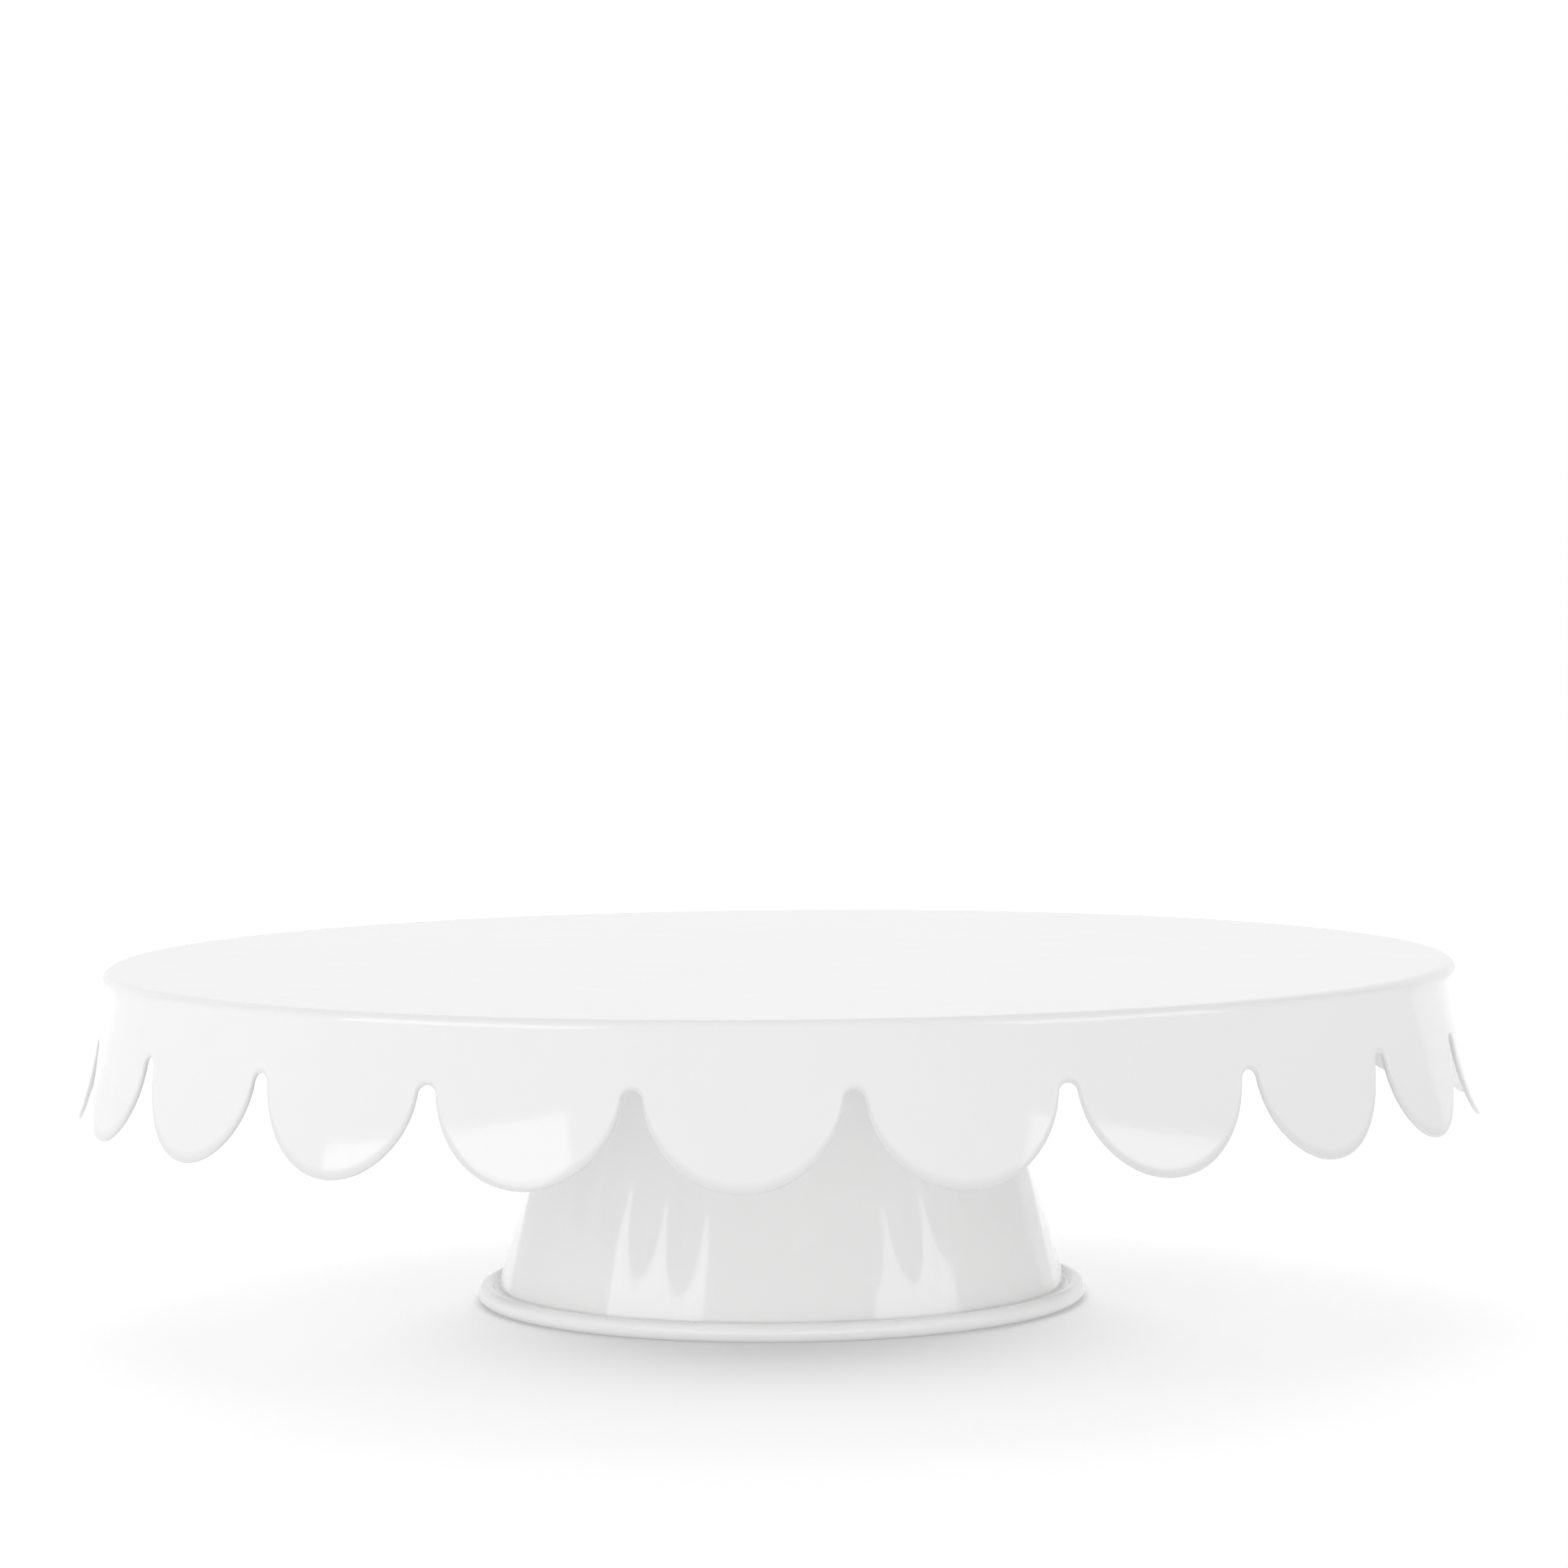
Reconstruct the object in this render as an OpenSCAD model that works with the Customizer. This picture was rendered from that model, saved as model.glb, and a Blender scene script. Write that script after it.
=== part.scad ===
// Cake stand: a scalloped sheet-steel plate on a cone-shaped pedestal with a rolled foot.
// A stud welded under the plate passes down through the pedestal's top disc, and a wing nut
// inside the pedestal draws the two together over a stack of washers.
// Millimetres, +Z up. The origin is on the ground, under the middle of the foot.
// The middle of one lobe of the skirt faces -Y.

/* [Plate] */
// Diameter over the rounded rim
plate_d = 300; // [260:1:340]
// Height of the plate's top face above the ground
stand_h = 76; // [70:1:110]
// Thickness of the plate's sheet
plate_t = 1.0; // [0.8:0.1:1.4]
// Outer radius of the rounded rim
rim_r = 2.2; // [1.8:0.1:4]

/* [Skirt and scallops] */
// Depth of the lobes' tips below the top face
skirt_drop = 33; // [28:1:40]
// Lean of the skirt away from the vertical where it leaves the rim, in degrees
flare_start = 5; // [2:0.5:8]
// Radius of the skirt's outward curve
flare_r = 165; // [120:5:300]
// Number of lobes round the skirt
lobe_count = 22; // [18:2:26]
// Width of the slots between the lobes
slot_w = 4.2; // [3:0.1:6]
// Depth of the slots' round tops below the top face
slot_drop = 13.5; // [10:0.5:16]

/* [Pedestal] */
// Diameter over the rolled bead at the foot
foot_d = 136; // [120:1:160]
// Lean of the cone's wall from the vertical, in degrees
cone_angle = 15.2; // [8:0.1:20]
// Thickness of the pedestal's sheet
pedestal_t = 0.9; // [0.7:0.1:1.2]
// Outer radius of the corner between the cone and its top disc
shoulder_r = 3; // [2:0.5:6]
// Diameter of the wire inside the bead
wire_d = 2.2; // [1.8:0.1:3]
// Width of the valley between the bead and the cone
valley_gap = 0.2; // [0.1:0.1:1]

/* [Fixing] */
// Outer diameter of the stud's thread
stud_d = 5.9; // [5.8:0.05:5.95]
// Length of the stud below its flange
stud_l = 18; // [17:0.5:22]
// Diameter of the stud's welded flange
flange_d = 22; // [16:1:24]
// Thickness of the stud's welded flange
flange_t = 1.2; // [0.8:0.1:1.4]
// Diameter of the gasket between the plate and the pedestal
gasket_d = 76; // [50:1:80]
// Thickness of the gasket
gasket_t = 1.5; // [1.5:0.1:3]
// Diameter over the wide washers
washer_d = 25; // [18:1:30]
// Span of the nut's two wings
wing_span = 33; // [28:1:36]
// Height of the nut from its bearing face to the wings' tips
wing_h = 17; // [14:0.5:19]

/* [Hidden] */
$fn = 96;

// Angle covered by one straight stretch of a small arc, and of the skirt's long curve
arc_step = 10;
flare_step = 1;

// Plate: centres of the rim's bend and of the skirt's curve, which meet tangentially
plate_r = plate_d / 2;
rim_c = [plate_r - rim_r, stand_h - rim_r];
flare_c = rim_c + (rim_r + flare_r) * [cos(flare_start), sin(flare_start)];

// Angle and radius of the skirt's outer face at a depth below the top face
function flare_angle(drop) = asin((flare_c.y - stand_h + drop) / flare_r);
function skirt_r(drop) = flare_c.x - flare_r * cos(flare_angle(drop));

// Lobes: each is a circle that runs into the sides of the slots at their spring line
lobe_pitch = 360 / lobe_count;
spring_drop = slot_drop + slot_w / 2;
spring_r = skirt_r(spring_drop);
lobe_half_w = spring_r * sin(lobe_pitch / 2 - asin(slot_w / 2 / spring_r));
lobe_h = skirt_drop - spring_drop;
lobe_r = (lobe_h + lobe_half_w * lobe_half_w / lobe_h) / 2;
cut_depth = 16;
trim = 1;

// Pedestal: the bead stands on the ground and the cone rises beside it
bead_clearance = 0.05;
curl_r = wire_d / 2 + bead_clearance;
bead_r = curl_r + pedestal_t;
bead_c = [foot_d / 2 - bead_r, bead_r];
cone_out = [cos(cone_angle), sin(cone_angle)];
cone_base_r = bead_c.x + (bead_r * cone_out.y - bead_r - valley_gap) / cone_out.x;
disc_z = stand_h - plate_t - gasket_t;
shoulder_c = [
    cone_base_r - (shoulder_r + (disc_z - shoulder_r) * cone_out.y) / cone_out.x,
    disc_z - shoulder_r
];
toe_in_r = 0.4;
toe_out_r = toe_in_r + pedestal_t;
toe_c = [cone_base_r + (toe_in_r - toe_out_r * cone_out.y) / cone_out.x, toe_out_r];

// Fixing: each part of the stack sits under the one before it
shank_hole_d = 6.4;
disc_hole_d = 6.6;
gasket_hole_d = 26;
fibre_t = 1.0;
fibre_over = 1;
penny_t = 1.5;
spring_t = 1.6;
spring_d = 11.8;
spring_hole_d = 6.1;
spring_slit = 1.0;
spring_slit_lean = 25;
fibre_z = disc_z - pedestal_t - fibre_t;
penny_z = fibre_z - penny_t;
spring_z = penny_z - spring_t;
nut_hole_d = 6.0;
nut_boss_h = 8;
nut_boss_d = 12;
nut_neck_d = 10;
wing_t = 2.6;
wing_tip_r = 5;
wing_root = 3;
stud_chamfer = 0.8;

// Points along an arc about centre c, from one angle to another
function arc(c, r, from, to, step = arc_step) =
    let (n = ceil(abs(to - from) / step))
    [for (i = [0:n]) c + r * [cos(from + (to - from) * i / n), sin(from + (to - from) * i / n)]];

function reversed(points) = [for (i = [len(points) - 1:-1:0]) points[i]];

// Face of the plate's sheet from the centre, over the rim and down the skirt
function plate_face(inset) =
    let (end = flare_angle(skirt_drop + trim))
    concat(
        [[0, stand_h - inset]],
        arc(rim_c, rim_r - inset, 90, flare_start),
        arc(flare_c, flare_r + inset, 180 + flare_start, 180 + end, flare_step)
    );

// Face of the pedestal's sheet from its hole, down the cone and round the bead
function pedestal_face(inset) = concat(
    [[disc_hole_d / 2, disc_z - inset]],
    arc(shoulder_c, shoulder_r - inset, 90, cone_angle),
    arc(toe_c, toe_in_r + inset, 180 + cone_angle, 270),
    arc(bead_c, curl_r + inset, -90, 180)
);

module spun_sheet(outer_face, inner_face) {
    rotate_extrude()
        polygon(concat(outer_face, reversed(inner_face)));
}

// Round cutter lying along a radius of the plate, as deep as the skirt needs
module radial_rod(r, drop) {
    translate([0, -plate_r + cut_depth / 2, stand_h - drop])
        rotate([90, 0, 0])
            cylinder(r = r, h = cut_depth);
}

module lobes() {
    for (i = [0:lobe_count - 1])
        rotate([0, 0, i * lobe_pitch])
            radial_rod(lobe_r, skirt_drop - lobe_r);
}

module slot_tops() {
    for (i = [0:lobe_count - 1])
        rotate([0, 0, (i + 0.5) * lobe_pitch])
            radial_rod(slot_w / 2, spring_drop);
}

module above_spring_line() {
    translate([0, 0, stand_h - spring_drop])
        cylinder(d = plate_d + cut_depth, h = spring_drop + trim);
}

module scalloped_plate() {
    color("white")
        difference() {
            intersection() {
                spun_sheet(plate_face(0), plate_face(plate_t));
                union() {
                    above_spring_line();
                    lobes();
                }
            }
            slot_tops();
        }
}

// Flat ring that stands on height z
module ring(z, thickness, outer_d, hole_d) {
    translate([0, 0, z])
        difference() {
            cylinder(d = outer_d, h = thickness);
            translate([0, 0, -trim])
                cylinder(d = hole_d, h = thickness + 2 * trim);
        }
}

module weld_stud() {
    flange_z = stand_h - plate_t - flange_t;
    color("silver") {
        translate([0, 0, flange_z])
            cylinder(d = flange_d, h = flange_t);
        translate([0, 0, flange_z - stud_l])
            cylinder(d1 = stud_d - 2 * stud_chamfer, d2 = stud_d, h = stud_chamfer);
        translate([0, 0, flange_z - stud_l + stud_chamfer])
            cylinder(d = stud_d, h = stud_l - stud_chamfer);
    }
}

module plate_gasket() {
    color("gainsboro")
        ring(disc_z, gasket_t, gasket_d, gasket_hole_d);
}

module pedestal_shell() {
    color("white")
        spun_sheet(pedestal_face(0), pedestal_face(pedestal_t));
}

module bead_wire() {
    color("silver")
        rotate_extrude()
            translate(bead_c)
                circle(d = wire_d, $fn = 32);
}

module fibre_washer() {
    color("firebrick")
        ring(fibre_z, fibre_t, washer_d + fibre_over, shank_hole_d);
}

module penny_washer() {
    color("silver")
        ring(penny_z, penny_t, washer_d, shank_hole_d);
}

module spring_washer() {
    color("silver")
        difference() {
            ring(spring_z, spring_t, spring_d, spring_hole_d);
            translate([0, -spring_d / 2, spring_z + spring_t / 2])
                rotate([0, spring_slit_lean, 0])
                    cube([spring_slit, spring_d, 4 * spring_t], center = true);
        }
}

// One wing in outline: a tapered arm with a round tip. X runs outwards and Y away from
// the bearing face.
module wing_outline() {
    tip = [wing_span / 2 - wing_tip_r, wing_h - wing_tip_r];
    side = [0.6, -0.8] * wing_tip_r;
    translate(tip)
        circle(r = wing_tip_r);
    polygon([[wing_root, 1], [nut_neck_d / 2, 1], tip + side, tip - side, [wing_root, nut_boss_h]]);
}

module wing() {
    translate([0, wing_t / 2, spring_z])
        rotate([90, 0, 0])
            mirror([0, 1, 0])
                linear_extrude(wing_t)
                    wing_outline();
}

module wing_nut() {
    color("silver")
        difference() {
            union() {
                translate([0, 0, spring_z - nut_boss_h])
                    cylinder(d1 = nut_neck_d, d2 = nut_boss_d, h = nut_boss_h);
                wing();
                rotate([0, 0, 180])
                    wing();
            }
            translate([0, 0, spring_z - nut_boss_h - trim])
                cylinder(d = nut_hole_d, h = nut_boss_h + 2 * trim);
        }
}

scalloped_plate();
weld_stud();
plate_gasket();
pedestal_shell();
bead_wire();
fibre_washer();
penny_washer();
spring_washer();
wing_nut();
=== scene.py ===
"""Looks of the cake stand: enamelled plate and pedestal, and the hardware that joins them.

Lengths are in metres and angles in radians unless a name says otherwise. Sizes that a node's box
doesn't give repeat the design's own dimensions, in millimetres times MM.
"""
import math
import bmesh
import bpy
import numpy as np
from mathutils import Matrix, Vector


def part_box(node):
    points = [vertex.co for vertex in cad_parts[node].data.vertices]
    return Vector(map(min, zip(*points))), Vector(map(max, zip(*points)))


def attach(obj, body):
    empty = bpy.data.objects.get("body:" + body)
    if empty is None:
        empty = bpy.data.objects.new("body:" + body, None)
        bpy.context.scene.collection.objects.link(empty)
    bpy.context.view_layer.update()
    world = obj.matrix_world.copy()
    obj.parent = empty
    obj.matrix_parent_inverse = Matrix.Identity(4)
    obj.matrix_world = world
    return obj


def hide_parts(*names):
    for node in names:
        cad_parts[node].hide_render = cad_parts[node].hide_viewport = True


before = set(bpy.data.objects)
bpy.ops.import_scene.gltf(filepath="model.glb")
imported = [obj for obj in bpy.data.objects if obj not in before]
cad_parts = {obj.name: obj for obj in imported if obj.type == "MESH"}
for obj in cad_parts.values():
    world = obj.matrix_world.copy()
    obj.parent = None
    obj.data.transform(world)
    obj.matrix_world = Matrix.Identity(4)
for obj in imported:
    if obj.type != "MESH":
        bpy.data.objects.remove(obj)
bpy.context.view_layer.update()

MM = 0.001
TURN = 2 * math.pi

# ---- sizes --------------------------------------------------------------------------------

plate_low, plate_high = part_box("scalloped_plate")
STAND_H = plate_high.z
SKIRT_DROP = plate_high.z - plate_low.z
PLATE_T = 1.0 * MM
RIM_R = 2.2 * MM
FLARE_START = math.radians(5)
FLARE_R = 165 * MM
LOBES = 22
PITCH = TURN / LOBES
SLOT_R = 2.1 * MM
SLOT_DROP = 13.5 * MM
SPRING_DROP = SLOT_DROP + SLOT_R


def flare_angle(drop):
    """Lean of the skirt's outer face at a depth below the plate's top."""
    rise = RIM_R - (RIM_R + FLARE_R) * math.sin(FLARE_START)
    return np.arcsin((drop - rise) / FLARE_R)


def flare_out(drop):
    """How far the skirt's outer face stands out from the rim's widest radius."""
    start = (RIM_R + FLARE_R) * math.cos(FLARE_START) - RIM_R
    return start - FLARE_R * np.cos(flare_angle(drop))


PLATE_R = plate_high.y - flare_out(SKIRT_DROP)


def skirt_r(drop):
    return PLATE_R + flare_out(drop)


def lobe_circle():
    """Radius of a lobe's round edge, and the depth of its centre below the plate's top."""
    spring_r = skirt_r(SPRING_DROP)
    half_w = spring_r * math.sin(PITCH / 2 - math.asin(SLOT_R / spring_r))
    height = SKIRT_DROP - SPRING_DROP
    radius = (height + half_w * half_w / height) / 2
    return radius, SKIRT_DROP - radius


LOBE_R, LOBE_C = lobe_circle()

pedestal_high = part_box("pedestal_shell")[1]
FOOT_R = pedestal_high.x
DISC_Z = pedestal_high.z
PEDESTAL_T = 0.9 * MM
SHOULDER_R = 3 * MM
WIRE_R = 1.1 * MM
WIRE_CLEARANCE = 0.05 * MM
CURL_R = WIRE_R + WIRE_CLEARANCE
BEAD_R = CURL_R + PEDESTAL_T
VALLEY = 0.2 * MM
TOE_IN_R = 0.4 * MM
TOE_OUT_R = TOE_IN_R + PEDESTAL_T
DISC_HOLE_R = 3.3 * MM
ENAMEL_FILLET_R = 0.6 * MM
ENAMEL_FILLET_T = 0.3 * MM

# The cone in section: its lean, and the directions across its wall and up along it
CONE_LEAN_DEG = 15.2
cone_lean = math.radians(CONE_LEAN_DEG)
ACROSS = Vector((math.cos(cone_lean), math.sin(cone_lean)))
ALONG = Vector((-ACROSS.y, ACROSS.x))

THREAD_PITCH = 1.0 * MM
STUD_MAJOR_R = 2.95 * MM
STUD_MINOR_R = 2.45 * MM
STUD_FLANGE_T = 1.2 * MM
STUD_CHAMFER = 0.8 * MM
NUT_MAJOR_R = 3.04 * MM
NUT_MINOR_R = 2.55 * MM
NUT_BOSS_H = 8 * MM
NUT_NECK_R = 5 * MM
WING_TIP_R = 5 * MM
WING_HALF_T = 1.3 * MM
GASKET_HOLE_R = 13 * MM
WASHER_HOLE_R = 3.2 * MM
SPRING_HOLE_R = 3.05 * MM
SPRING_SLIT = 1.0 * MM
SPRING_SLIT_LEAN = math.radians(25)


# ---- mesh helpers -------------------------------------------------------------------------

def arc(centre, radius, start, end, steps):
    """Points in (radius, height) along an arc, both ends included. Angles in degrees."""
    angles = np.radians(np.linspace(start, end, steps + 1))
    return [(centre[0] + radius * math.cos(a), centre[1] + radius * math.sin(a)) for a in angles]


def with_supports(points, near=0.15 * MM, long=0.8 * MM):
    """Adds a point close to both ends of each long straight, so that it shades flat."""
    out = [points[0]]
    for a, b in zip(points, points[1:]):
        length = math.dist(a, b)
        if length > long:
            for share in (near / length, 1 - near / length):
                out.append((a[0] + (b[0] - a[0]) * share, a[1] + (b[1] - a[1]) * share))
        out.append(b)
    return out


def new_object(name, verts, faces):
    mesh = bpy.data.meshes.new(name)
    mesh.from_pydata([tuple(v) for v in verts], [], faces)
    mesh.validate()
    for polygon in mesh.polygons:
        polygon.use_smooth = True
    obj = bpy.data.objects.new(name, mesh)
    bpy.context.scene.collection.objects.link(obj)
    return obj


def face_outwards(obj):
    bm = bmesh.new()
    bm.from_mesh(obj.data)
    bmesh.ops.recalc_face_normals(bm, faces=bm.faces)
    bm.to_mesh(obj.data)
    bm.free()


def strip(first, second, count):
    """Quads between two closed rings of vertices that start at these indices."""
    return [
        (first + i, first + (i + 1) % count, second + (i + 1) % count, second + i)
        for i in range(count)
    ]


def halving_strip(fine, coarse, count):
    """Faces between a ring of count vertices and one of half as many."""
    faces = []
    half = count // 2
    for k in range(half):
        a, b, c = fine + 2 * k, fine + 2 * k + 1, fine + (2 * k + 2) % count
        d, e = coarse + k, coarse + (k + 1) % half
        faces += [(a, b, d), (b, c, e), (d, b, e)]
    return faces


def full_turn(count):
    """Evenly spaced angles round a circle."""
    return np.arange(count) * TURN / count


def ring(r, z, angles):
    """Points round Z at height z. Angle 0 faces -Y, and r may differ from point to point."""
    return np.stack([r * np.sin(angles), -r * np.cos(angles), np.full_like(angles, z)], axis=1)


def revolved(name, profile, columns=192):
    """A solid of revolution about Z from a closed outline of (radius, height) points."""
    verts = np.concatenate([ring(r, z, full_turn(columns)) for r, z in profile])
    faces = []
    for row in range(len(profile)):
        faces += strip(row * columns, (row + 1) % len(profile) * columns, columns)
    obj = new_object(name, verts, faces)
    face_outwards(obj)
    return obj


def rounded_ring(r_in, r_out, z_low, z_high, edge, steps=4):
    """Closed outline of a flat ring with rounded edges."""
    points = arc((r_out - edge, z_low + edge), edge, -90, 0, steps)
    points += arc((r_out - edge, z_high - edge), edge, 0, 90, steps)
    points += arc((r_in + edge, z_high - edge), edge, 90, 180, steps)
    points += arc((r_in + edge, z_low + edge), edge, 180, 270, steps)
    return with_supports(points + points[:1])[:-1]


def thread_height(phase):
    """Share of the thread's depth at a phase of one pitch: flat root, flank, flat crest, flank."""
    flank_width = 0.3125
    flanks_meet = 1.2
    return np.clip(flanks_meet - np.abs(phase - 0.5) / flank_width, 0, 1)


def add_piece(obj, body, node, material):
    """Puts a finished piece on its body, in place of its CAD node."""
    obj.data.materials.clear()
    obj.data.materials.append(material)
    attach(obj, body)
    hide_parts(node)
    return obj


# ---- plate --------------------------------------------------------------------------------

SLOT_COLUMNS = 7
LOBE_COLUMNS = 25
EDGE_R = 0.42 * MM


def half_lobe_edge():
    """Angle and depth of the cut edge, from the top of a slot to the bottom of the next lobe."""
    angles, drops = [], []
    for turn in np.linspace(0, math.pi / 2, SLOT_COLUMNS, endpoint=False):
        drop = SPRING_DROP - SLOT_R * math.cos(turn)
        angles.append(-PITCH / 2 + math.asin(SLOT_R * math.sin(turn) / skirt_r(drop)))
        drops.append(drop)
    spring_turn = math.acos((SPRING_DROP - LOBE_C) / LOBE_R)
    for turn in np.linspace(spring_turn, 0, LOBE_COLUMNS + 1):
        drop = LOBE_C + LOBE_R * math.cos(turn)
        angles.append(-math.asin(LOBE_R * math.sin(turn) / skirt_r(drop)))
        drops.append(drop)
    return np.array(angles), np.array(drops)


def whole_edge():
    """Angle and depth of the cut edge all the way round, and its outward direction on the skirt."""
    half_angles, half_drops = half_lobe_edge()
    lobe_angles = np.concatenate([half_angles, -half_angles[-2:0:-1]])
    lobe_drops = np.concatenate([half_drops, half_drops[-2:0:-1]])
    angles = np.concatenate([lobe_angles + PITCH * i for i in range(LOBES)])
    drops = np.tile(lobe_drops, LOBES)
    ahead, behind = np.roll(angles, -1), np.roll(angles, 1)
    ahead[-1] += TURN
    behind[0] -= TURN
    along = (ahead - behind) * skirt_r(drops)
    down = (np.roll(drops, -1) - np.roll(drops, 1)) / np.cos(flare_angle(drops))
    length = np.hypot(along, down)
    return angles, drops, -down / length, along / length


def skirt_points(angles, drops, depth):
    """Points of the skirt at a depth inside its outer face. Angle 0 faces -Y."""
    lean = flare_angle(drops)
    r = skirt_r(drops) - depth * np.cos(lean)
    z = STAND_H - drops - depth * np.sin(lean)
    return np.stack([r * np.sin(angles), -r * np.cos(angles), z * np.ones_like(r)], axis=1)


def edge_section():
    """(pull-back from the cut, depth inside the outer face) across the rounded cut edge."""
    turns = np.radians(np.linspace(0, 90, 6))
    outer = [(EDGE_R * (1 - math.sin(a)), EDGE_R * (1 - math.cos(a))) for a in turns]
    inner = [(back, PLATE_T - depth) for back, depth in reversed(outer)]
    return outer + inner


def skirt_rows(count=15):
    """Rings of points down the outside of the skirt, round the cut edge and up the inside."""
    angles, drops, out_along, out_down = whole_edge()
    steps = np.hypot(np.diff(angles, append=angles[0] + TURN) * PLATE_R,
                     np.diff(drops, append=drops[0]))
    travelled = np.concatenate([[0], np.cumsum(steps)[:-1]])
    top_angles = angles[0] + travelled / steps.sum() * TURN
    top_drop = RIM_R * (1 - math.sin(FLARE_START))

    def pulled_back(back):
        drop = drops - back * out_down * np.cos(flare_angle(drops))
        return angles - back * out_along / skirt_r(drops), drop

    def side(depth, shares):
        edge_angles, edge_drops = pulled_back(EDGE_R)
        rows = []
        for share in shares:
            row_angles = top_angles + (edge_angles - top_angles) * share
            row_drops = top_drop + (edge_drops - top_drop) * share
            rows.append(skirt_points(row_angles, row_drops, depth))
        return rows

    shares = np.linspace(0, 1, count + 1)[:-1]
    rows = side(0, shares)
    edge_start = len(rows)
    for back, depth in edge_section():
        rows.append(skirt_points(*pulled_back(back), depth))
    edge_end = len(rows)
    rows += side(PLATE_T, shares[::-1])
    return rows, top_angles, (edge_start, edge_end)


def rim_rows(top_angles, radius, steps):
    """Rings round the rim's bend, from the flat top towards the skirt, without the last one."""
    centre = (PLATE_R - RIM_R, STAND_H - RIM_R)
    profile = arc(centre, radius, 90, math.degrees(FLARE_START), steps)[:-1]
    return [ring(r, z, top_angles) for r, z in profile]


def disc_rings(top_angles, z):
    """Rings from the rim towards the centre, with half as many points where they get small."""
    flat_r = PLATE_R - RIM_R
    near_rim = (0.998, 0.985, 0.94)
    shrink = 0.72
    rings = [ring(flat_r * share, z, top_angles) for share in near_rim]
    share, angles = near_rim[-1], top_angles
    while len(angles) % 2 == 0 and len(angles) > LOBES:
        angles = angles[::2]
        share *= shrink
        rings.append(ring(flat_r * share, z, angles))
    return rings


def make_plate():
    skirt, top_angles, (edge_start, edge_end) = skirt_rows()
    outer_rim = rim_rows(top_angles, RIM_R, steps=10)
    inner_rim = rim_rows(top_angles, RIM_R - PLATE_T, steps=6)[::-1]
    top = disc_rings(top_angles, STAND_H)[::-1]
    under = disc_rings(top_angles, STAND_H - PLATE_T)
    rows = top + outer_rim + skirt + inner_rim + under
    starts = np.cumsum([0] + [len(row) for row in rows])
    faces = [tuple(range(len(rows[0])))]
    for i, (a, b) in enumerate(zip(rows, rows[1:])):
        if len(a) == len(b):
            faces += strip(starts[i], starts[i + 1], len(a))
        elif len(a) > len(b):
            faces += halving_strip(starts[i], starts[i + 1], len(a))
        else:
            faces += halving_strip(starts[i + 1], starts[i], len(b))
    faces.append(tuple(range(starts[-2], starts[-1])))
    plate = new_object("enamel_plate", np.concatenate(rows), faces)
    face_outwards(plate)
    above_skirt = len(top) + len(outer_rim)
    edge_rows = range(above_skirt + edge_start, above_skirt + edge_end)
    mark_edge(plate, [v for row in edge_rows for v in range(starts[row], starts[row + 1])])
    return plate


def mark_edge(obj, verts):
    """Stores where the enamel is thin, for the material to use."""
    attribute = obj.data.attributes.new("thin_enamel", "FLOAT", "POINT")
    values = np.zeros(len(obj.data.vertices), np.float32)
    values[list(verts)] = 1
    attribute.data.foreach_set("value", values)


# ---- pedestal -----------------------------------------------------------------------------

def corner_angle(a, b, opposite):
    """Angle between two sides of a triangle, in degrees."""
    return math.degrees(math.acos((a * a + b * b - opposite * opposite) / (2 * a * b)))


def pedestal_centres():
    """Centres of the arcs of the pedestal's section: bead, shoulder, toe and enamel fillet."""
    bead = Vector((FOOT_R - BEAD_R, BEAD_R))
    base_r = bead.x + (BEAD_R * ACROSS.y - BEAD_R - VALLEY) / ACROSS.x
    shoulder_z = DISC_Z - SHOULDER_R
    shoulder = (base_r - (SHOULDER_R + shoulder_z * ACROSS.y) / ACROSS.x, shoulder_z)
    toe = (base_r + (TOE_IN_R - TOE_OUT_R * ACROSS.y) / ACROSS.x, TOE_OUT_R)
    side = ENAMEL_FILLET_R - BEAD_R - VALLEY
    rise = math.sqrt((BEAD_R + ENAMEL_FILLET_R) ** 2 - side ** 2)
    fillet = bead + side * ACROSS + rise * ALONG
    return bead, shoulder, toe, fillet


def shell_outline(bead, shoulder, toe, fillet, touch):
    """Outline of the spun sheet, with the enamel fillet that closes the valley."""
    outline = [(DISC_HOLE_R, DISC_Z)]
    outline += arc(shoulder, SHOULDER_R, 90, CONE_LEAN_DEG, 10)
    outline += arc(fillet, ENAMEL_FILLET_R, 180 + CONE_LEAN_DEG, 180 + touch, 8)
    outline += arc(bead, BEAD_R, touch, -90, 32)[1:]
    outline += arc(toe, TOE_OUT_R, 270, 180 + CONE_LEAN_DEG, 8)
    outline += arc(shoulder, SHOULDER_R - PEDESTAL_T, CONE_LEAN_DEG, 90, 10)
    outline += [(DISC_HOLE_R, DISC_Z - PEDESTAL_T)]
    return with_supports(outline + outline[:1])[:-1]


def hollow_outline(bead, toe, fillet, touch):
    """Outline of the hollow inside the bead and below the enamel fillet."""
    under_r = ENAMEL_FILLET_R + ENAMEL_FILLET_T
    apart = BEAD_R + ENAMEL_FILLET_R
    bead_end = touch + corner_angle(BEAD_R, apart, under_r)
    under_start = 180 + touch - corner_angle(under_r, apart, BEAD_R)
    under_end = 180 + CONE_LEAN_DEG + math.degrees(math.acos(ENAMEL_FILLET_R / under_r))
    outline = arc(toe, TOE_IN_R, 180 + CONE_LEAN_DEG, 270, 6)
    outline += arc(bead, CURL_R, -90, 180, 28)
    outline += arc(bead, BEAD_R, 180, bead_end, 3)
    outline += arc(fillet, under_r, under_start, under_end, 4)[1:]
    return outline


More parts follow.
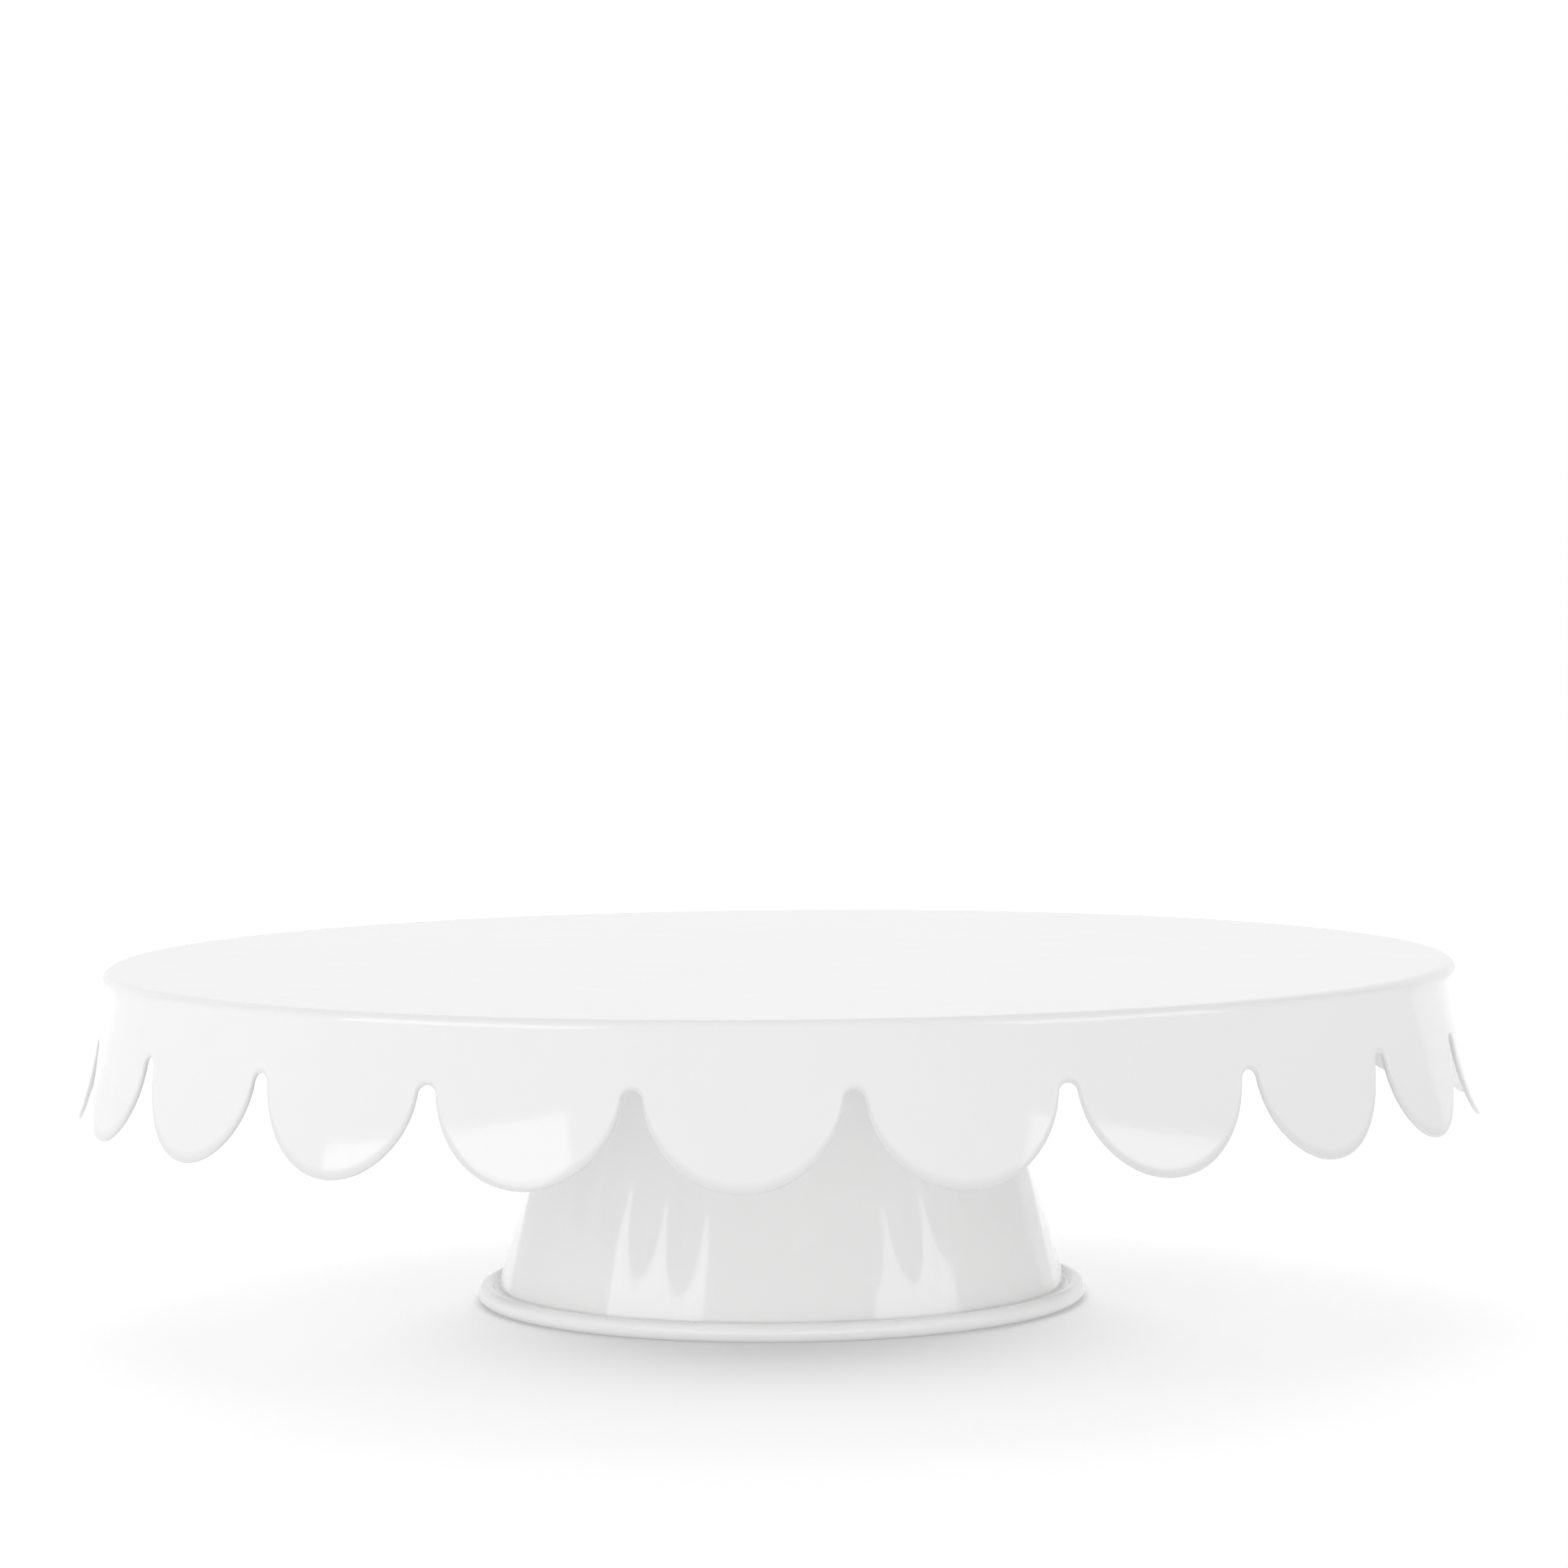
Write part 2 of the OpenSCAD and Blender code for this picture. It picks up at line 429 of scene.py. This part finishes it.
def make_pedestal():
    """Spun shell. Enamel closes the valley beside the bead, and the bead keeps its hollow."""
    bead, shoulder, toe, fillet = pedestal_centres()
    touch = math.degrees(math.atan2(*(fillet - bead).yx))
    shell = revolved("shell", shell_outline(bead, shoulder, toe, fillet, touch), columns=288)
    cavity = revolved("bead_hollow", hollow_outline(bead, toe, fillet, touch), columns=288)
    cavity.data.flip_normals()
    pedestal = join([shell, cavity], "enamel_pedestal")
    no_thin_enamel = []
    mark_edge(pedestal, no_thin_enamel)
    return pedestal


# ---- hardware -----------------------------------------------------------------------------

THREAD_COLUMNS = 64


def thread_rings(z_low, z_high, minor_r, major_r, rows_per_pitch, limit=None):
    """Rings of points up a screw thread; limit(z) is the largest radius at each height."""
    count = round((z_high - z_low) / THREAD_PITCH * rows_per_pitch)
    angles = full_turn(THREAD_COLUMNS)
    rings = []
    for z in np.linspace(z_low, z_high, count + 1):
        phase = (z / THREAD_PITCH - angles / TURN) % 1
        r = minor_r + (major_r - minor_r) * thread_height(phase)
        if limit is not None:
            r = np.minimum(r, limit(z))
        rings.append(ring(r, z, angles))
    return rings


def solid_from_rings(name, rings):
    """Closed solid from rings of equal length, capped at both ends."""
    count = len(rings[0])
    faces = [tuple(range(count))]
    for i in range(len(rings) - 1):
        faces += strip(i * count, (i + 1) * count, count)
    faces.append(tuple(range((len(rings) - 1) * count, len(rings) * count)))
    obj = new_object(name, np.concatenate(rings), faces)
    face_outwards(obj)
    return obj


def make_stud():
    """Threaded rod with a chamfered end, filleted into its round flange."""
    low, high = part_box("weld_stud")
    flange_z = high.z - STUD_FLANGE_T
    fillet, flange_edge, weld_edge = 0.6 * MM, 0.3 * MM, 0.1 * MM
    chamfer_slope = 0.9
    rows_per_pitch = 20

    def limit(z):
        return STUD_MAJOR_R - chamfer_slope * max(0, STUD_CHAMFER - (z - low.z))

    rings = thread_rings(low.z, flange_z - fillet, STUD_MINOR_R, STUD_MAJOR_R,
                         rows_per_pitch, limit)
    profile = arc((STUD_MAJOR_R + fillet, flange_z - fillet), fillet, 180, 90, 5)
    profile += arc((high.x - flange_edge, flange_z + flange_edge), flange_edge, -90, 0, 4)
    profile += arc((high.x - weld_edge, high.z - weld_edge), weld_edge, 0, 90, 2)
    rings += [ring(r, z, full_turn(THREAD_COLUMNS)) for r, z in with_supports(profile)]
    return solid_from_rings("threaded_stud", rings)


def make_ring_piece(name, node, hole_r, edge):
    low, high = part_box(node)
    return revolved(name, rounded_ring(hole_r, high.x, low.z, high.z, edge))


def make_spring_washer():
    """Flat split ring. Only near the slit do its slices lean, as the slit's two faces do."""
    low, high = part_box("spring_washer")
    section = rounded_ring(SPRING_HOLE_R, high.x, low.z, high.z, edge=0.18 * MM, steps=3)
    mid_z = (low.z + high.z) / 2
    slices = 120
    fade = 8
    rings = []
    for i in range(slices + 1):
        lean = math.tan(SPRING_SLIT_LEAN) * math.cos(math.pi * i / slices) ** fade
        points = []
        for r, z in section:
            half_gap = SPRING_SLIT / 2 / r
            angle = half_gap + (TURN - 2 * half_gap) * i / slices + lean * (z - mid_z) / r
            points.append((r * math.sin(angle), -r * math.cos(angle), z))
        rings.append(points)
    return solid_from_rings("split_washer", rings)


def apply_modifiers(obj):
    graph = bpy.context.evaluated_depsgraph_get()
    mesh = bpy.data.meshes.new_from_object(obj.evaluated_get(graph))
    obj.modifiers.clear()
    obj.data = mesh


def merge_near_points(obj, gap):
    """Takes away the slivers that a boolean cut leaves."""
    bm = bmesh.new()
    bm.from_mesh(obj.data)
    bmesh.ops.triangulate(bm, faces=bm.faces)
    bmesh.ops.dissolve_degenerate(bm, edges=bm.edges, dist=gap)
    bmesh.ops.remove_doubles(bm, verts=bm.verts, dist=gap)
    bm.to_mesh(obj.data)
    bm.free()


def make_wing_nut():
    """Die-cast wing nut: boss and wings blended into one skin, then threaded."""
    low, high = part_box("wing_nut")
    core_r = 0.5 * MM
    neck_z = high.z - NUT_BOSS_H
    outline = [(core_r, high.z), (high.y, high.z), (NUT_NECK_R, neck_z), (core_r, neck_z)]
    boss = revolved("nut_boss", outline, columns=96)
    nut = join([boss, make_wing(1, low, high), make_wing(-1, low, high)], "cast_wing_nut")
    skin = nut.modifiers.new("skin", "REMESH")
    skin.mode = "VOXEL"
    skin.voxel_size = 0.28 * MM
    soften = nut.modifiers.new("soften", "SMOOTH")
    soften.factor = 0.5
    soften.iterations = 6
    apply_modifiers(nut)
    cutter = thread_cutter(neck_z, high.z)
    cut = nut.modifiers.new("thread", "BOOLEAN")
    cut.operation = "DIFFERENCE"
    cut.solver = "EXACT"
    cut.object = cutter
    apply_modifiers(nut)
    bpy.data.objects.remove(cutter)
    merge_near_points(nut, gap=0.01 * MM)
    for polygon in nut.data.polygons:
        polygon.use_smooth = True
    return nut


def thread_cutter(z_low, z_high):
    """Threaded rod to cut the nut's thread, long enough to clear the wings' roots as well."""
    clear = 2 * MM
    rows_per_pitch = 16
    rings = thread_rings(z_low - clear, z_high + clear, NUT_MINOR_R, NUT_MAJOR_R,
                         rows_per_pitch)
    return solid_from_rings("thread_cutter", rings)


def make_wing(side, low, high):
    """An arm with a round tip, on the nut's +X side or, with side -1, opposite."""
    root_x = 2 * MM
    root_high, root_low = high.z - MM, high.z - 7.6 * MM
    tip = (high.x - WING_TIP_R, low.z + WING_TIP_R)
    tip_start, tip_end = 53, -127
    outline = [(root_x, root_low), (root_x, root_high), (NUT_NECK_R, root_high)]
    outline += arc(tip, WING_TIP_R, tip_start, tip_end, 24)
    verts = [(side * x, y, z) for y in (-WING_HALF_T, WING_HALF_T) for x, z in outline]
    count = len(outline)
    faces = [tuple(range(count)), tuple(range(count, 2 * count))] + strip(0, count, count)
    wing = new_object("nut_wing", verts, faces)
    face_outwards(wing)
    return wing


def join(parts, name):
    """One object made of several objects' meshes, which it replaces."""
    bm = bmesh.new()
    for part in parts:
        bm.from_mesh(part.data)
    joined = new_object(name, [], [])
    bm.to_mesh(joined.data)
    bm.free()
    for part in parts:
        bpy.data.objects.remove(part)
    return joined


# ---- materials ----------------------------------------------------------------------------

class Shader:
    """A node material with a Principled shader, built call by call."""

    def __init__(self, name):
        self.material = bpy.data.materials.new(name)
        self.material.use_nodes = True
        self.tree = self.material.node_tree
        self.surface = self.tree.nodes["Principled BSDF"]
        self.place = self.node("ShaderNodeTexCoord").outputs["Object"]

    def node(self, kind, **inputs):
        made = self.tree.nodes.new(kind)
        for name, value in inputs.items():
            self.feed(made.inputs[name.replace("_", " ")], value)
        return made

    def feed(self, socket, value):
        if isinstance(value, bpy.types.NodeSocket):
            self.tree.links.new(value, socket)
        else:
            socket.default_value = value

    def set(self, name, value):
        self.feed(self.surface.inputs[name], value)

    def noise(self, size, detail=3.0, roughness=0.5, stretch=(1, 1, 1)):
        """Noise of 0 to 1 whose features are about this long, in metres."""
        mapping = self.node("ShaderNodeMapping", Vector=self.place)
        mapping.inputs["Scale"].default_value = stretch
        made = self.node("ShaderNodeTexNoise", Vector=mapping.outputs[0], Scale=1 / size,
                         Detail=detail, Roughness=roughness)
        return made.outputs["Fac"]

    def span(self, value, low, high, from_low=0.3, from_high=0.7):
        """Maps a value onto low to high. By default it takes a noise's useful part."""
        made = self.node("ShaderNodeMapRange", Value=value)
        made.inputs["From Min"].default_value = from_low
        made.inputs["From Max"].default_value = from_high
        made.inputs["To Min"].default_value = low
        made.inputs["To Max"].default_value = high
        return made.outputs[0]

    def mix(self, share, first, second):
        """A colour between two, by a share of 0 to 1."""
        made = self.tree.nodes.new("ShaderNodeMix")
        made.data_type = "RGBA"
        colour_inputs = [socket for socket in made.inputs if socket.type == "RGBA"]
        for socket, value in zip([made.inputs["Factor"]] + colour_inputs, (share, first, second)):
            self.feed(socket, value)
        return next(socket for socket in made.outputs if socket.type == "RGBA")

    def dots(self, spacing, radius):
        """1 in sparse round dots of this radius, in metres, and 0 between them."""
        cells = self.node("ShaderNodeTexVoronoi", Vector=self.place, Scale=1 / spacing)
        edge = radius / spacing
        full = 0.6 * radius / spacing
        return self.span(cells.outputs["Distance"], 1, 0, full, edge)

    def attribute(self, name):
        made = self.tree.nodes.new("ShaderNodeAttribute")
        made.attribute_name = name
        return made.outputs["Fac"]

    def bump(self, heights):
        """Stacks bumps; each is (height, depth in metres)."""
        normal = None
        for height, depth in heights:
            made = self.node("ShaderNodeBump", Height=height, Distance=depth)
            if normal is not None:
                self.feed(made.inputs["Normal"], normal)
            normal = made.outputs[0]
        self.set("Normal", normal)


def enamel():
    """Gloss white enamel: faint orange peel, pinholes, and thin greyer cover on cut edges."""
    shader = Shader("white_enamel")
    cloud = shader.span(shader.noise(60 * MM, 2), 0, 1)
    cover = shader.mix(cloud, (0.825, 0.825, 0.823, 1), (0.835, 0.835, 0.833, 1))
    cover = shader.mix(shader.attribute("thin_enamel"), cover, (0.74, 0.74, 0.74, 1))
    pinholes = shader.dots(14 * MM, 0.22 * MM)
    shader.set("Base Color", shader.mix(pinholes, cover, (0.4, 0.4, 0.38, 1)))
    shader.set("Roughness", shader.span(shader.noise(14 * MM, 2), 0.05, 0.075))
    shader.set("IOR", 1.52)
    shader.bump([
        (shader.noise(3.2 * MM, 1), 0.004 * MM),
        (shader.noise(0.5 * MM, 2), 0.0008 * MM),
    ])
    return shader.material


def zinc():
    """Bright zinc plating over turned steel."""
    shader = Shader("zinc_plate")
    patch = shader.span(shader.noise(2.5 * MM, 4), 0, 1)
    shader.set("Base Color", shader.mix(patch, (0.60, 0.62, 0.66, 1), (0.74, 0.74, 0.73, 1)))
    shader.set("Metallic", 1.0)
    shader.set("Roughness", shader.span(shader.noise(0.8 * MM, 5), 0.22, 0.42))
    shader.bump([
        (shader.noise(0.35 * MM, 4, stretch=(1, 1, 3)), 0.012 * MM),
        (shader.noise(3 * MM, 2), 0.02 * MM),
    ])
    return shader.material


def silicone():
    """Milky silicone sheet with a dusting of fine texture."""
    shader = Shader("milky_silicone")
    cloud = shader.span(shader.noise(9 * MM, 3), 0, 1)
    shader.set("Base Color", shader.mix(cloud, (0.74, 0.74, 0.72, 1), (0.83, 0.83, 0.81, 1)))
    shader.set("Roughness", shader.span(shader.noise(1.5 * MM, 4), 0.42, 0.6))
    shader.set("Subsurface Weight", 0.4)
    shader.set("Subsurface Radius", (0.003, 0.003, 0.0025))
    shader.bump([(shader.noise(0.4 * MM, 4), 0.015 * MM)])
    return shader.material


def red_fibre():
    """Vulcanised fibre board: long matted fibres in dark red."""
    shader = Shader("vulcanised_fibre")
    strands = shader.noise(0.9 * MM, 6, 0.65, stretch=(0.35, 1, 1))
    mottle = shader.span(strands, 0, 1)
    shader.set("Base Color", shader.mix(mottle, (0.22, 0.035, 0.02, 1), (0.42, 0.09, 0.05, 1)))
    shader.set("Roughness", shader.span(strands, 0.55, 0.75))
    shader.bump([(strands, 0.02 * MM)])
    return shader.material


# ---- studio -------------------------------------------------------------------------------

CAMERA_AZIMUTH = math.radians(2.73)
CAMERA_DISTANCE = 1.087
CAMERA_HEIGHT = 0.1648
CAMERA_PITCH = math.radians(2.637)
CAMERA_YAW = math.radians(0.078)
CAMERA_ROLL = math.radians(-0.5)
CAMERA_LENS = 112.0

SWEEP_HALF_W = 3.0
SWEEP_FRONT = -3.0
SWEEP_BACK = 2.2
SWEEP_BEND_R = 0.8
SWEEP_TOP = 3.0
GLOW_NEAR, GLOW_FAR = 0.24, 0.585
GLOW_START, GLOW_END = 0.3, 1.5

# Each is axis, start and end of its ramp, and strength at the start and at the end
WORLD_RAMPS = (
    ("Z", 0, 1, 0.87, 0.65),
    ("X", -1, 1, 1.12, 0.77),
)
LIGHT_TARGET = (0, 0, 0.05)


def from_camera(distance, azimuth, height):
    """A place round the object. Azimuth 0 is the camera's, and it grows to the picture's right."""
    turn = CAMERA_AZIMUTH + math.radians(azimuth)
    return Vector((distance * math.sin(turn), -distance * math.cos(turn), height))


def add_camera():
    data = bpy.data.cameras.new("camera")
    data.lens = CAMERA_LENS
    camera = bpy.data.objects.new("camera", data)
    aim = (
        Matrix.Rotation(CAMERA_AZIMUTH - CAMERA_YAW, 4, "Z")
        @ Matrix.Rotation(math.pi / 2 - CAMERA_PITCH, 4, "X")
        @ Matrix.Rotation(CAMERA_ROLL, 4, "Z")
    )
    camera.matrix_world = Matrix.Translation(from_camera(CAMERA_DISTANCE, 0, CAMERA_HEIGHT)) @ aim
    bpy.context.scene.collection.objects.link(camera)
    bpy.context.scene.camera = camera


def add_softbox(name, place, target, width, height, brightness):
    """Rectangular light whose face shines with this radiance."""
    data = bpy.data.lights.new(name, "AREA")
    data.shape = "RECTANGLE"
    data.size = width
    data.size_y = height
    data.energy = brightness * math.pi * width * height
    light = bpy.data.objects.new(name, data)
    light.location = place
    light.rotation_euler = (Vector(target) - place).to_track_quat("-Z", "Y").to_euler()
    light.visible_camera = False
    bpy.context.scene.collection.objects.link(light)
    return light


def sweep_profile():
    """Outline of the sweep from the front edge of its floor to the top of its wall."""
    wall_y = SWEEP_BACK + SWEEP_BEND_R
    profile = [(SWEEP_FRONT, 0.0), (SWEEP_BACK, 0.0)]
    for a in np.radians(np.linspace(5, 90, 18)):
        rise = SWEEP_BEND_R * (1 - math.cos(a))
        profile.append((SWEEP_BACK + SWEEP_BEND_R * math.sin(a), rise))
    return profile + [(wall_y, SWEEP_TOP)]


def acrylic():
    """White acrylic lit from behind, and brighter the further back it is."""
    shader = Shader("white_acrylic")
    grain = shader.noise(2 * MM, 4)
    shader.set("Base Color", shader.mix(grain, (0.49, 0.49, 0.49, 1), (0.51, 0.51, 0.51, 1)))
    shader.set("Roughness", 0.9)
    shader.set("Specular IOR Level", 0.1)
    depth = shader.node("ShaderNodeSeparateXYZ", Vector=shader.place).outputs["Y"]
    glow = shader.span(depth, GLOW_NEAR, GLOW_FAR, GLOW_START, GLOW_END)
    shader.set("Emission Color", (1, 1, 1, 1))
    shader.set("Emission Strength", glow)
    return shader.material


def add_backdrop():
    """Seamless sweep of backlit white acrylic: a floor that curves up into a wall."""
    profile = sweep_profile()
    turn = Matrix.Rotation(CAMERA_AZIMUTH, 3, "Z")
    sides = (-SWEEP_HALF_W, SWEEP_HALF_W)
    verts = [turn @ Vector((x, y, z)) for y, z in profile for x in sides]
    faces = [(2 * i, 2 * i + 1, 2 * i + 3, 2 * i + 2) for i in range(len(profile) - 1)]
    sweep = new_object("acrylic_sweep", verts, faces)
    sweep.data.materials.append(acrylic())
    return sweep


def add_world():
    """White room, brighter at eye level than overhead and on the left than on the right."""
    world = bpy.data.worlds.new("studio")
    world.use_nodes = True
    tree = world.node_tree
    direction = tree.nodes.new("ShaderNodeTexCoord")
    split = tree.nodes.new("ShaderNodeSeparateXYZ")
    product = tree.nodes.new("ShaderNodeMath")
    product.operation = "MULTIPLY"
    tree.links.new(direction.outputs["Generated"], split.inputs[0])
    for socket, (axis, start, end, at_start, at_end) in zip(product.inputs, WORLD_RAMPS):
        ramp = tree.nodes.new("ShaderNodeMapRange")
        ramp.inputs["From Min"].default_value = start
        ramp.inputs["From Max"].default_value = end
        ramp.inputs["To Min"].default_value = at_start
        ramp.inputs["To Max"].default_value = at_end
        tree.links.new(split.outputs[axis], ramp.inputs["Value"])
        tree.links.new(ramp.outputs[0], socket)
    tree.links.new(product.outputs[0], tree.nodes["Background"].inputs["Strength"])
    tree.nodes["Background"].inputs["Color"].default_value = (1, 1, 1, 1)
    bpy.context.scene.world = world


def limit_light(light, lit, blocking):
    """Makes a light fall on some objects only, and be shadowed by some only."""
    receivers = bpy.data.collections.new(light.name + "_lit")
    blockers = bpy.data.collections.new(light.name + "_blocking")
    for obj in lit:
        receivers.objects.link(obj)
    for obj in blocking:
        blockers.objects.link(obj)
    light.light_linking.receiver_collection = receivers
    light.light_linking.blocker_collection = blockers


def light_studio(floor, foot):
    """Two softboxes, a light for the floor alone and one for the pedestal alone."""
    left_place = from_camera(1.59, -54, 0.89)
    right_place = from_camera(1.59, 57.5, 0.89)
    behind = from_camera(0.95, 180, 1.0)
    low_front = from_camera(1.4, 0, 0.12)
    add_softbox("left_softbox", left_place, LIGHT_TARGET, 1.38, 0.91, 1.85)
    add_softbox("right_softbox", right_place, LIGHT_TARGET, 1.2, 0.91, 1.75)
    floor_light = add_softbox("floor_light", behind, LIGHT_TARGET, 1.3, 1.0, 6.6)
    limit_light(floor_light, [floor], [foot])
    foot_fill = add_softbox("foot_fill", low_front, LIGHT_TARGET, 3.0, 0.24, 3.0)
    limit_light(foot_fill, [foot], [foot])


# ---- assembly -----------------------------------------------------------------------------

bpy.context.scene.view_settings.view_transform = "Standard"
add_world()
add_camera()
sweep = add_backdrop()

enamel_white = enamel()
zinc_plate = zinc()
milky_silicone = silicone()
fibre_red = red_fibre()

add_piece(make_plate(), "plate", "scalloped_plate", enamel_white)
add_piece(make_stud(), "plate", "weld_stud", zinc_plate)
pedestal = add_piece(make_pedestal(), "foot", "pedestal_shell", enamel_white)
light_studio(sweep, pedestal)
gasket = make_ring_piece("silicone_gasket", "plate_gasket", GASKET_HOLE_R, edge=0.4 * MM)
add_piece(gasket, "foot", "plate_gasket", milky_silicone)
fibre = make_ring_piece("fibre_ring", "fibre_washer", WASHER_HOLE_R, edge=0.12 * MM)
add_piece(fibre, "foot", "fibre_washer", fibre_red)
penny = make_ring_piece("wide_washer", "penny_washer", WASHER_HOLE_R, edge=0.2 * MM)
add_piece(penny, "foot", "penny_washer", zinc_plate)
add_piece(make_spring_washer(), "foot", "spring_washer", zinc_plate)
add_piece(make_wing_nut(), "nut", "wing_nut", zinc_plate)
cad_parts["bead_wire"].data.materials.clear()
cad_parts["bead_wire"].data.materials.append(zinc_plate)
